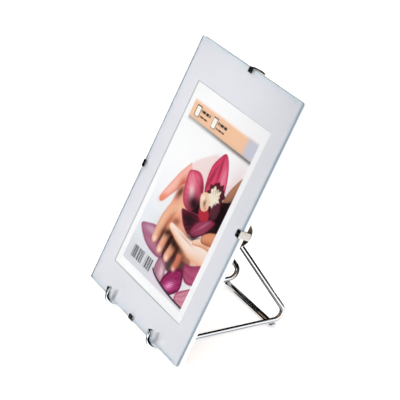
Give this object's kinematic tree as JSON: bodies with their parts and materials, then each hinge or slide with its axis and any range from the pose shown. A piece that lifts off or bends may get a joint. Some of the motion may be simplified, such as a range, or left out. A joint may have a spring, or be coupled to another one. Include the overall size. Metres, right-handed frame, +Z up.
{
  "type": "clip frame on wire easel",
  "caption": "Frameless glass clip frame with a card mat and picture, held by spring clips and leaning on a bent chrome wire easel with two front hooks.",
  "frame": {"origin": "on the table under the middle of the whole object", "axes": "+Z up, -Y the side the picture faces, +X to the right of a person who looks at the picture"},
  "size_m": [0.131, 0.0998, 0.1705],
  "materials": {
    "chromed_wire": "bright chromium plate on drawn steel wire",
    "float_glass": "clear float glass with ground edges",
    "mat_card": "matt pale grey card with a white core",
    "printed_paper": "smooth colour print with a white margin",
    "white_fibreboard": "hard fibreboard with a white face",
    "zinc_plated_steel": "bright zinc plate on pressed sheet",
    "spring_steel": "bright nickel-plated spring steel strip"
  },
  "bodies": {
    "easel": {"easel_wire": "chromed_wire", "rear_foot_bar": "chromed_wire"},
    "frame": {"glass_pane": "float_glass", "mat_board": "mat_card", "picture_print": "printed_paper", "backboard": "white_fibreboard", "hanger_portrait": "zinc_plated_steel", "hanger_landscape": "zinc_plated_steel"},
    "top_clip": {"clip_top": "spring_steel"},
    "bottom_clip": {"clip_bottom": "spring_steel"},
    "left_clip": {"clip_left": "spring_steel"},
    "right_clip": {"clip_right": "spring_steel"}
  },
  "joints": [
    {"name": "frame_lift", "type": "slide", "parent": "easel", "child": "frame", "axis": [0, 0.4067, 0.9135], "range_m": [0, 0.06]},
    {"name": "clip_top_pull", "type": "slide", "parent": "frame", "child": "top_clip", "axis": [0, 0.4067, 0.9135], "range_m": [0, 0.0036]},
    {"name": "clip_bottom_pull", "type": "slide", "parent": "frame", "child": "bottom_clip", "axis": [0, -0.4067, -0.9135], "range_m": [0, 0.0036]},
    {"name": "clip_left_pull", "type": "slide", "parent": "frame", "child": "left_clip", "axis": [-1, 0, 0], "range_m": [0, 0.0036]},
    {"name": "clip_right_pull", "type": "slide", "parent": "frame", "child": "right_clip", "axis": [1, 0, 0], "range_m": [0, 0.0036]}
  ]
}
